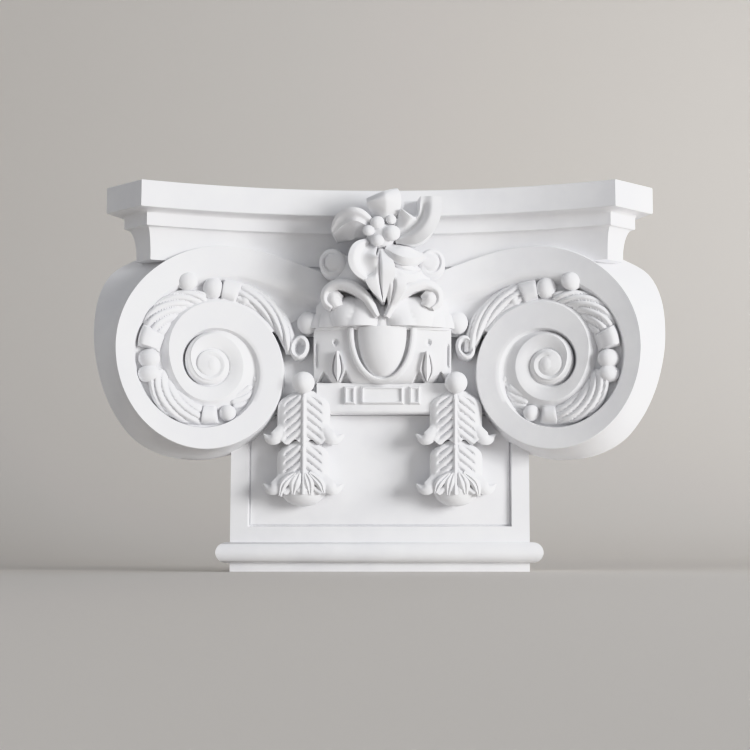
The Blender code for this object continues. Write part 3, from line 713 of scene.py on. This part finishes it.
def husk(top):
    """One husk on each side, its upper edge at a height, with its two lower tips."""
    halves = ((0.0080,), (0.0165,), (0.0178,), (0.0178,), (0.0182,), (0.0205,))

    def place(u, v, side):
        half = path(halves, u)[0]
        x = half * v
        down = HUSK_LENGTH * u * (1 + 0.05 * math.cos(v * LOBE_WAVES * math.pi / 2)) * 1.03
        drop_off = 0.0035 * (1 - step(0.0, 0.16, u))
        if not side:
            return point(DROP_X + x * 0.92, HUSK_REACH - HUSK_BACK, top - down)
        lift = HUSK_CROWN * (math.sqrt(max(0.0, 1 - (0.97 * v) ** 2)) - 0.55) - drop_off
        inside = 1 - step(RIB_REACH * 0.8, RIB_REACH, abs(x))
        rib = ridge((down - RIB_SLANT * abs(x)) / RIB_SPACING)
        beside_stem = step(STEM_HALF * 0.6, STEM_HALF * 1.6, abs(x))
        lift += RIB_GROOVE * (rib - 1) * inside * beside_stem * step(0.05, 0.18, u)
        lift += STEM_RISE * (1 - step(STEM_HALF * 0.7, STEM_HALF * 1.3, abs(x)))
        lift -= 0.0022 * math.exp(-((x - 0.0010) / 0.0006) ** 2) * step(0.02, 0.1, u)
        lift += 0.0016 * step(0.6, 1.0, u) * step(0.3, 1.0, abs(v))
        return point(DROP_X + x, HUSK_REACH + lift, top - down)
    slab("husk", place, 46, 44, mirror=True)
    for way in (-1, 1):
        spine = [(DROP_X + way * 0.0120, top - HUSK_LENGTH * 0.66, HUSK_REACH - 0.0010),
                 (DROP_X + way * 0.0172, top - HUSK_LENGTH * 0.90, HUSK_REACH + 0.0012),
                 (DROP_X + way * 0.0222, top - HUSK_LENGTH * 0.97, HUSK_REACH + 0.0006),
                 (DROP_X + way * 0.0272, top - HUSK_LENGTH * 0.86, HUSK_REACH - 0.0030)]
        blade("husk_tip", spine, (0.0034, 0.0046, 0.0036, 0.0004), 0.0016, along=16, across=8, mirror=True)


def blade(name, spine, halves, crown, profile=None, depth=0.012, along=22, across=12, mirror=False):
    """A leaf along a spine of x, height and projection. profile(u, v) adds to its crown."""
    def place(u, v, side):
        x, z, projection = path(spine, u)
        ahead, behind = path(spine, min(u + 0.02, 1.0)), path(spine, max(u - 0.02, 0.0))
        across_x, across_z = behind[1] - ahead[1], ahead[0] - behind[0]
        half = path([(width,) for width in halves], u)[0] / math.hypot(across_x, across_z)
        lift = crown * (1 - v * v) + (profile(u, v) if profile else 0.0)
        taper = 1.0 if side else 0.85
        return point(x + across_x * half * v * taper, projection + (lift if side else -depth),
                     z + across_z * half * v * taper)
    slab(name, place, along, across, mirror)


def crease(line, width, depth):
    """A crease along v = line, which starts just after the leaf's root."""
    return lambda u, v: -depth * math.exp(-((v - line) / width) ** 2) * step(0.0, 0.15, u)


def drops():
    """On each side a bead, two husks, the split tips and the bud between them."""
    ball("drop_bead", DROP_X, ECHINUS_BOTTOM, 0.070, DROP_BEAD_RADIUS, True)
    for top in (DROP_TOP, DROP_TOP - HUSK_LENGTH):
        husk(top)
    low = DROP_TOP - 2 * HUSK_LENGTH
    for x, half, fall in ((-0.0050, 0.0036, 0.0030), (0.0060, 0.0040, 0.0026), (0.0140, 0.0030, 0.0036),
                          (-0.0130, 0.0030, 0.0018)):
        spine = [(DROP_X + x * 0.35, low + 0.012, HUSK_REACH + 0.0030),
                 (DROP_X + x * 0.9, low + 0.005, HUSK_REACH + 0.0038),
                 (DROP_X + x * 1.1, low - fall, HUSK_REACH + 0.0010)]
        blade("split_tip", spine, (half * 0.5, half, half * 0.35), 0.0016, crease(0.0, 0.2, 0.0012),
              along=14, across=10, mirror=True)
    ball("bud", DROP_X, low + 0.001, HUSK_REACH - 0.0075, 0.0115, True, (1.35, 0.9, 1.0))


drops()
print(len(SHAPES), "forms with the drops")

# %% [markdown]
# ## The flower
#
# An open flower stands out over the abacus: eight uneven petals round a heart of five lobes. Each
# petal is a blade along its own spine. A profile gives it what makes it a petal: a fold, a crease, a
# rolled rim, or a hollow with a lip. All places are counted from the flower's heart.

# %% Flower
FLOWER_REACH = 0.1045
PETAL_DEPTH = 0.021
HEART_RADIUS = 0.0100
LOBES = ((0.0068, 0.0000, 0.0052), (-0.0024, -0.0050, 0.0038), (-0.0086, 0.0018, 0.0036),
         (-0.0028, 0.0070, 0.0044), (0.0064, 0.0092, 0.0032))


def fold(line, rise):
    """A crease line at v = line, with the leaf falling away on both sides of it."""
    return lambda u, v: -rise * abs(v - line)


def hollow(line, width, depth, lip):
    """A hollow along v = line, with a lip on its lower side."""
    return lambda u, v: (-depth * math.exp(-((v - line) / width) ** 2)
                         * math.sin(math.pi * min(1.0, u * 1.1)) ** 0.7
                         + lip * step(line, line - 0.5, v) * u)


def rolled(u, v):
    """A raised rim on one edge, with the other edge rolled back."""
    return 0.0026 * step(-0.25, -0.75, v) - 0.0130 * max(v, 0.0)


def lipped(u, v):
    """A lip on one edge, and a hollow beside it that comes up again towards the other."""
    return -0.0050 * step(-0.60, -0.15, v) * (1 - 0.9 * step(-0.15, 1.0, v))


def folded(u, v):
    """A crease down the middle, whose one side falls away near the heart and rises near the tip."""
    side = max(0.0, -v)
    return (crease(0.0, 0.09, 0.0040)(u, v) - 0.0120 * side * (1 - step(0.45, 0.62, u))
            + 0.0022 * side * step(0.5, 0.7, u))


def cupped(u, v):
    """A hollow along the petal, and a deep cup in one side of its outer half."""
    return hollow(-0.05, 0.20, 0.0060, 0.0020)(u, v) - 0.0175 * step(0.12, 0.30, v) * step(0.5, 0.72, u)


# Name, spine as x, height and projection, half widths along it, crown and profile
PETALS = (
    ("petal_top",
     ((0.0005, 0.0090, -0.004), (0.0018, 0.0160, 0.003),
      (0.0015, 0.0225, 0.006), (0.0, 0.0270, 0.003)),
     (0.0062, 0.0104, 0.0116, 0.0108), 0.0022, fold(-0.15, 0.0026)),
    ("petal_upper_left",
     ((-0.006, 0.0035, -0.004), (-0.0165, 0.0078, 0.002),
      (-0.0250, 0.0065, -0.003), (-0.0325, 0.0018, -0.012)),
     (0.0050, 0.0086, 0.0088, 0.0035), 0.0006, rolled),
    ("petal_lower_left",
     ((-0.0070, -0.006, -0.002), (-0.0115, -0.0135, 0.004),
      (-0.0110, -0.0220, 0.002), (-0.0040, -0.0330, -0.006)),
     (0.0050, 0.0094, 0.0092, 0.0015), 0.0004, lipped),
    ("petal_down",
     ((-0.001, -0.010, -0.004), (-0.0012, -0.0210, 0.000),
      (-0.0010, -0.0320, -0.004), (0.0010, -0.0445, -0.013)),
     (0.0040, 0.0100, 0.0092, 0.0008), 0.0018, folded),
    ("petal_lower_right",
     ((0.003, -0.009, -0.003), (0.0115, -0.0135, 0.001),
      (0.0200, -0.0150, -0.001), (0.0290, -0.0135, -0.008)),
     (0.0040, 0.0062, 0.0058, 0.0016), 0.0020, fold(-0.3, 0.0030)),
    ("petal_below_right",
     ((0.004, -0.018, -0.008), (0.0120, -0.0240, -0.005),
      (0.0200, -0.0255, -0.008), (0.0265, -0.0230, -0.014)),
     (0.0045, 0.0075, 0.0060, 0.0020), 0.0014, crease(0.1, 0.14, 0.0026)),
    ("petal_point",
     ((0.004, -0.022, -0.008), (0.0095, -0.031, -0.005),
      (0.0085, -0.040, -0.009), (0.0050, -0.0495, -0.016)),
     (0.0040, 0.0072, 0.0052, 0.0008), 0.0014, crease(-0.2, 0.14, 0.0026)),
    ("petal_right",
     ((0.008, -0.002, -0.005), (0.0190, 0.0030, 0.003),
      (0.0262, 0.0115, 0.006), (0.0275, 0.0240, 0.005)),
     (0.0045, 0.0120, 0.0130, 0.0125), 0.0008, cupped),
)


def flower():
    """The petals, the heart with its lobes, and the stem that carries them."""
    for name, spine, halves, crown, profile in PETALS:
        places = [(x, FLOWER_Z + z, FLOWER_REACH + p) for x, z, p in spine]
        blade(name, places, halves, crown, profile, depth=PETAL_DEPTH, along=26, across=20)
    for x, z, radius in LOBES:
        ball("lobe", x, FLOWER_Z + z, FLOWER_REACH + 0.0004, radius, stretch=(1.12, 0.8, 1.05), segments=20)
    ball("heart", 0.0, FLOWER_Z, FLOWER_REACH - 0.0085, HEART_RADIUS)
    stem = [(0.0005, ECHINUS_TOP - 0.002, 0.064), (0.0005, (ECHINUS_TOP + FLOWER_Z) / 2, 0.076),
            (0.0, FLOWER_Z + 0.006, FLOWER_REACH - 0.012)]
    blade("stem", stem, (0.016, 0.013, 0.011), 0.006, depth=0.030)


flowering = len(SHAPES)
flower()

# %% [markdown]
# ## The spray of leaves
#
# Under the flower a spray spreads over the moulding: on each side broad bulging leaf ends, a leaf
# whose tip curls in like a small scroll, and a rolled bud above it. A hollow bud lies between the
# moulding and the scroll. A bulging end is a flattened ball, cut level on the moulding. A rolled end
# is a button: a sphere whose front takes a dome, a groove that is deepest on one side, and a rim.

# %% Leaves
LEAF_REACH = 0.083
BUTTON_BACK = 0.014


def button(name, x, z, projection, half_x, half_z, height, groove_turn, turn=0.0, cup=0.0):
    """A rolled leaf end: a dome or a cup in a rim, its groove deepest towards groove_turn degrees."""
    bm = bmesh.new()
    bmesh.ops.create_uvsphere(bm, u_segments=36, v_segments=28, radius=1)
    for vert in bm.verts:
        share = min(1.0, math.hypot(vert.co.x, vert.co.y))
        angle = math.degrees(math.atan2(vert.co.y, vert.co.x))
        lean = 0.5 + 0.5 * math.cos(math.radians(angle - groove_turn))
        dip = math.exp(-((share - 0.62) / 0.10) ** 2) * lean
        up = math.sqrt(max(0.0, 1 - share ** 3)) - 0.55 * dip - cup * (1 - step(0.30, 0.72, share))
        vert.co = (vert.co.x * half_x, -up * height if vert.co.z > 0 else BUTTON_BACK, vert.co.y * half_z)
    bmesh.ops.rotate(bm, verts=bm.verts, matrix=Matrix.Rotation(math.radians(turn), 3, "Y"))
    bmesh.ops.translate(bm, verts=bm.verts, vec=point(x, projection, z))
    finish_shape(name, bm, mirror=True)


def leaf(name, spine, halves, crown, profile=None, depth=0.016, along=26, across=12):
    """A leaf of the spray on both sides, its spine counted from the top of the moulding."""
    places = [(x, ECHINUS_TOP + z, LEAF_REACH + p) for x, z, p in spine]
    blade(name, places, halves, crown, profile, depth, along, across, mirror=True)


def dome(name, x, z, projection, half_x, half_z, height, turn=0.0, mirror=True):
    """A broad bulging leaf end that stands on the moulding: a flattened ball, cut level below."""
    bm = bmesh.new()
    bmesh.ops.create_uvsphere(bm, u_segments=32, v_segments=20, radius=1)
    bmesh.ops.scale(bm, verts=bm.verts, vec=(half_x, height, half_z))
    bmesh.ops.rotate(bm, verts=bm.verts, matrix=Matrix.Rotation(math.radians(turn), 3, "Y"))
    bmesh.ops.translate(bm, verts=bm.verts, vec=point(x, projection, ECHINUS_TOP + z))
    cut = bmesh.ops.bisect_plane(bm, geom=whole(bm), clear_inner=True,
                                 plane_co=(0, 0, ECHINUS_TOP + 0.0002), plane_no=(0, 0, 1))["geom_cut"]
    edges = [part for part in cut if isinstance(part, bmesh.types.BMEdge)]
    if edges:
        bmesh.ops.edgeloop_fill(bm, edges=edges)
    finish_shape(name, bm, mirror)


def backing():
    """The ground behind the spray, which falls back from the moulding's top edge."""
    def place(u, v, side):
        z = ECHINUS_TOP - 0.0015 + 0.0340 * u * math.sqrt(1 - 0.75 * v * v)
        reach = 0.0790 - 0.006 * v * v - 0.004 * u ** 1.5
        return point(0.0455 * v, reach if side else 0.05, z)
    slab("spray_ground", place, 12, 24)


def leaves():
    """The whole spray: its ground, the curled leaf, the bulging ends, the leaf behind and the buds."""
    backing()
    leaf("curled_leaf", ((0.0030, 0.006, 0.004), (0.0105, 0.0185, 0.008), (0.0200, 0.0255, 0.009),
                         (0.0300, 0.0275, 0.007), (0.0375, 0.0235, 0.004), (0.0385, 0.0165, 0.002),
                         (0.0340, 0.0120, 0.001)),
         (0.0020, 0.0034, 0.0040, 0.0036, 0.0030, 0.0026, 0.0020), 0.0030, along=40, across=10)
    leaf("curled_heart", ((0.0290, 0.0230, 0.001), (0.0325, 0.0190, 0.003), (0.0300, 0.0130, 0.001)),
         (0.0040, 0.0055, 0.0040), 0.0030, along=16, across=12)
    dome("dome_leaf", 0.0150, 0.0010, 0.0735, 0.0150, 0.0235, 0.0145, -14)
    dome("inner_leaf", 0.0215, 0.0060, 0.0745, 0.0150, 0.0160, 0.0120, 16)
    dome("dome_side", 0.0315, 0.0020, 0.0705, 0.0125, 0.0150, 0.0100, -6)
    dome("low_leaf", 0.0405, 0.0010, 0.0665, 0.0100, 0.0115, 0.0080, 10)
    dome("dome_middle", 0.0, -0.002, 0.0730, 0.0080, 0.0190, 0.0110, mirror=False)
    leaf("side_leaf", ((0.0060, 0.031, 0.000), (0.0200, 0.0350, 0.002), (0.0330, 0.0450, -0.004)),
         (0.0060, 0.0095, 0.0080), 0.0030, depth=0.024, along=18, across=12)
    button("rolled_bud", 0.0335, ECHINUS_TOP + 0.0430, 0.083, 0.0092, 0.0100, 0.0062, 0, 10)
    ball("side_bud", 0.0515, ECHINUS_TOP + 0.0045, 0.0655, 0.0072, True, (1, 0.85, 1.1))
    button("scroll_bud", 0.0568, ECHINUS_TOP - 0.0125, 0.0670, 0.0066, 0.0086, 0.0040, 0, -15, cup=2.4)


leaves()
shift_from(flowering)
print(len(SHAPES), "forms in all")

# %% [markdown]
# ## One casting
#
# The mould gives one skin, so the forms are joined with a Boolean union and the inner walls go.
# The manifold solver is fast on closed shapes that face outwards. A few tiny faces that it leaves
# back to back are taken out. Faces are then shaded smooth, and only edges that really turn stay
# sharp.

# %% Join
SHARP_ANGLE = math.radians(38)


def doubled(bm):
    """Faces that lie back to back on the same corners and enclose nothing."""
    seen = {}
    for face in bm.faces:
        seen.setdefault(frozenset(face.verts), []).append(face)
    return [face for faces in seen.values() if len(faces) > 1 for face in faces]


def cast():
    """Joins all forms into one closed skin."""
    core, *others = SHAPES
    pieces = bpy.data.collections.new("forms")
    bpy.context.scene.collection.children.link(pieces)
    bpy.context.scene.collection.objects.link(core)
    for shape in others:
        pieces.objects.link(shape)
    join = core.modifiers.new("Join", "BOOLEAN")
    join.operation = "UNION"
    join.solver = "MANIFOLD"
    join.operand_type = "COLLECTION"
    join.collection = pieces
    bpy.context.view_layer.update()
    mesh = bpy.data.meshes.new_from_object(core.evaluated_get(bpy.context.evaluated_depsgraph_get()))
    for shape in SHAPES:
        bpy.data.objects.remove(shape)
    bpy.data.collections.remove(pieces)
    bm = bmesh.new()
    bm.from_mesh(mesh)
    bmesh.ops.triangulate(bm, faces=bm.faces)
    bmesh.ops.delete(bm, geom=doubled(bm), context="FACES")
    open_edges = sum(edge.is_boundary for edge in bm.edges)
    print("The casting has", len(bm.faces), "faces and", open_edges, "open edges")
    bm.to_mesh(mesh)
    bm.free()
    mesh.shade_smooth()
    mesh.set_sharp_from_angle(angle=SHARP_ANGLE)
    made = bpy.data.objects.new("capital_casting", mesh)
    bpy.context.scene.collection.objects.link(made)
    return made


casting = cast()

# %% [markdown]
# ## White priming
#
# The foam leaves the mould with a smooth skin and is sprayed with a matt white primer. That gives
# the eye a soft, even white with a very fine orange peel, a slightly greyer tone in soft clouds that
# come and go at random, and no gloss to speak of. Sprayed primer is about 0.1 mm thick, and its peel
# is about 2 mm across; it is drawn at that size.

# %% Priming
def linear(colour):
    """A hex sRGB colour as linear RGBA."""
    parts = [int(colour[k:k + 2], 16) / 255 for k in (1, 3, 5)]
    return [c / 12.92 if c <= 0.04045 else ((c + 0.055) / 1.055) ** 2.4 for c in parts] + [1.0]


def node(tree, kind, links=(), **settings):
    """Adds a node, sets its properties or inputs, and links inputs to other nodes' outputs."""
    made = tree.nodes.new(kind)
    for name, value in settings.items():
        socket = made.inputs.get(name.replace("_", " "))
        if socket is None:
            setattr(made, name, value)
        else:
            socket.default_value = value
    for name, output in dict(links).items():
        tree.links.new(output, made.inputs[name])
    return made


PEEL_SIZE = 0.0022
PEEL_HEIGHT = 0.0002
CLOUD_SIZE = 0.035
PRIMER_ROUGHNESS = 0.55
PRIMER_IOR = 1.48


def primed_white():
    """Sprayed matt primer on moulded polyurethane."""
    made = bpy.data.materials.new("sprayed_white_primer")
    made.use_nodes = True
    tree = made.node_tree
    shader = tree.nodes["Principled BSDF"]
    shader.inputs["Roughness"].default_value = PRIMER_ROUGHNESS
    shader.inputs["IOR"].default_value = PRIMER_IOR
    place = node(tree, "ShaderNodeTexCoord").outputs["Object"]
    cloud = node(tree, "ShaderNodeTexNoise", {"Vector": place},
                 Scale=1 / CLOUD_SIZE, Detail=3.0, Roughness=0.55)
    tone = node(tree, "ShaderNodeValToRGB", {"Fac": cloud.outputs["Fac"]})
    tone.color_ramp.elements[0].position = 0.35
    tone.color_ramp.elements[0].color = linear("#EEEEF0")
    tone.color_ramp.elements[1].position = 0.65
    tone.color_ramp.elements[1].color = linear("#F5F5F6")
    tree.links.new(tone.outputs["Color"], shader.inputs["Base Color"])
    peel = node(tree, "ShaderNodeTexNoise", {"Vector": place}, Scale=1 / PEEL_SIZE, Detail=2.0)
    bump = node(tree, "ShaderNodeBump", {"Height": peel.outputs["Fac"]}, Strength=0.12, Distance=PEEL_HEIGHT)
    tree.links.new(bump.outputs["Normal"], shader.inputs["Normal"])
    return made


casting.data.materials.clear()
casting.data.materials.append(primed_white())
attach(casting, "root")
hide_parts("capital")
print("Finished", casting.name)

# %% [markdown]
# ## Floor and backdrop
#
# A pale sheet that sweeps from the floor up behind the object shows no horizon, so nothing competes
# with the carving. It is nearly neutral, so that it throws no colour on the white, and a little
# darker than the primer, which keeps the outline readable.

# %% Sweep
SWEEP_HALF = 2.5
SWEEP_FRONT, SWEEP_BACK = -2.6, 0.9
SWEEP_RADIUS = 0.5
SWEEP_TOP = 2.4


def sweep():
    """A strip that runs along the floor, round a bend and up behind the object."""
    bm = bmesh.new()
    bmesh.ops.create_grid(bm, x_segments=1, y_segments=60, size=1)
    flat = SWEEP_BACK - SWEEP_RADIUS - SWEEP_FRONT
    bend = math.pi / 2 * SWEEP_RADIUS
    length = flat + bend + SWEEP_TOP
    for vert in bm.verts:
        run = (vert.co.y + 1) / 2 * length
        x = vert.co.x * SWEEP_HALF
        if run < flat:
            vert.co = (x, SWEEP_FRONT + run, 0.0)
        elif run < flat + bend:
            a = (run - flat) / SWEEP_RADIUS
            vert.co = (x, SWEEP_BACK - SWEEP_RADIUS * (1 - math.sin(a)), SWEEP_RADIUS * (1 - math.cos(a)))
        else:
            vert.co = (x, SWEEP_BACK, SWEEP_RADIUS + run - flat - bend)
    mesh = bpy.data.meshes.new("sweep")
    bm.to_mesh(mesh)
    bm.free()
    mesh.shade_smooth()
    made = bpy.data.objects.new("sweep", mesh)
    bpy.context.scene.collection.objects.link(made)
    paper = bpy.data.materials.new("matt_background_paper")
    paper.use_nodes = True
    paper.node_tree.nodes["Principled BSDF"].inputs["Base Color"].default_value = linear("#D6D2CD")
    paper.node_tree.nodes["Principled BSDF"].inputs["Roughness"].default_value = 0.9
    mesh.materials.append(paper)


sweep()

# %% [markdown]
# ## Light and camera
#
# The carving reads because the one lamp, large and soft, stands 56 degrees to the right of the
# camera's side and only a little above: surfaces that face left go grey and every groove draws a
# line. An even light from all round, like that of a white room, fills the shadows. The camera
# stands 1.1 m away and low down, and looks up by 6.33 degrees, which is where lines traced in the
# picture meet. It stands a little to the right and looks straight ahead, with its lens shifted, as
# nearer parts lie further left in the picture while left and right keep one size.

# %% Light and camera
CAMERA_DISTANCE = 1.1
CAMERA_X = 0.0275
LENS_SHIFT = -0.060
CAMERA_TILT = math.radians(6.33)
CAMERA_HEIGHT = 0.016
SENSOR = 36.0
LENS = SENSOR * 1560 / 750    # A focal length of 1560 pixels in a picture 750 wide
KEY_PLACE = (1.62, -1.09, 0.28)
KEY_AIM = (0, 0, 0.15)
KEY_SIZE = (0.85, 0.85)
KEY_POWER = 41
ROOM_LIGHT = 0.52


def area_light(name, place, aim, size, power, colour):
    """A rectangular lamp at a place, turned to shine at another."""
    data = bpy.data.lights.new(name, "AREA")
    data.shape = "RECTANGLE"
    data.size, data.size_y = size
    data.energy = power
    data.color = linear(colour)[:3]
    lamp = bpy.data.objects.new(name, data)
    lamp.location = place
    lamp.rotation_euler = (Vector(aim) - Vector(place)).to_track_quat("-Z", "Y").to_euler()
    bpy.context.scene.collection.objects.link(lamp)


area_light("key", KEY_PLACE, KEY_AIM, KEY_SIZE, KEY_POWER, "#FFFFFF")
world = bpy.data.worlds.new("studio")
world.use_nodes = True
world.node_tree.nodes["Background"].inputs["Color"].default_value = linear("#F2F4F8")
world.node_tree.nodes["Background"].inputs["Strength"].default_value = ROOM_LIGHT
bpy.context.scene.world = world
bpy.context.scene.view_settings.view_transform = "Khronos PBR Neutral"

camera = bpy.data.objects.new("camera", bpy.data.cameras.new("camera"))
camera.data.sensor_width = SENSOR
camera.data.lens = LENS
camera.data.clip_start = 0.01
camera.data.shift_x = LENS_SHIFT
camera.location = (CAMERA_X, -CAMERA_DISTANCE, CAMERA_HEIGHT)
camera.rotation_euler = (math.radians(90) + CAMERA_TILT, 0.0, 0.0)
bpy.context.scene.collection.objects.link(camera)
bpy.context.scene.camera = camera
print("Camera at", [round(v, 3) for v in camera.location])
